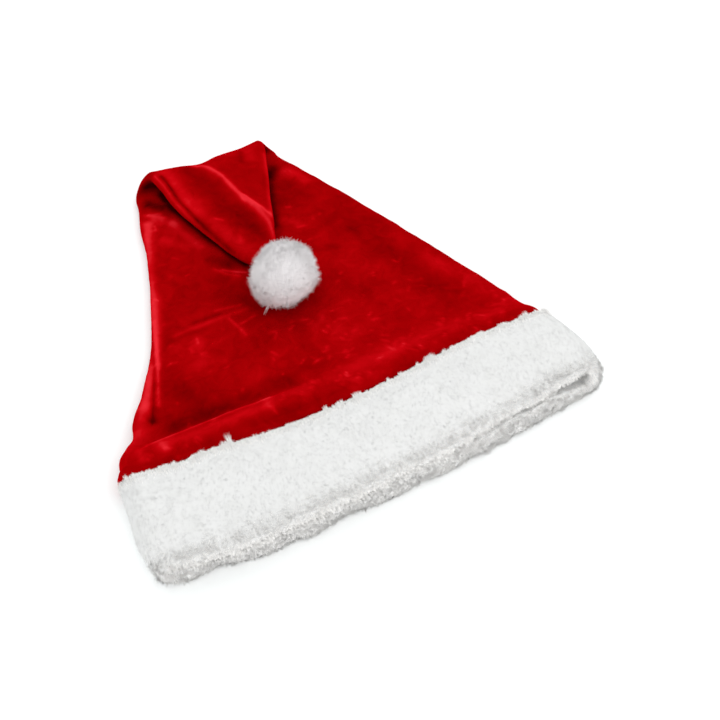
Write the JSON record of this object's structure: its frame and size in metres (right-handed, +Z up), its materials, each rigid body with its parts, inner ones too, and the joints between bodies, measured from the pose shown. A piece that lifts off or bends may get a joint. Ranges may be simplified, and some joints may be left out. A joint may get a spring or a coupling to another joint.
{
  "type": "santa hat",
  "caption": "Soft red velvet cone hat with a white plush band and pompom, lying flat on its back with the tip folded forward.",
  "frame": {"origin": "centre of the bounding box's bottom, on the floor that the hat lies on", "axes": "+X along the band to the right, +Y from the mouth towards the fold, +Z up"},
  "size_m": [0.3111, 0.3155, 0.058],
  "materials": {
    "velvet": "crushed red velvet with a short shiny pile",
    "band_plush": "white plush with a soft matted pile",
    "pompom_plush": "white plush, brushed round"
  },
  "bodies": {
    "root": {"crown": "velvet", "brim_band": "band_plush", "pompom": "pompom_plush"}
  },
  "joints": []
}
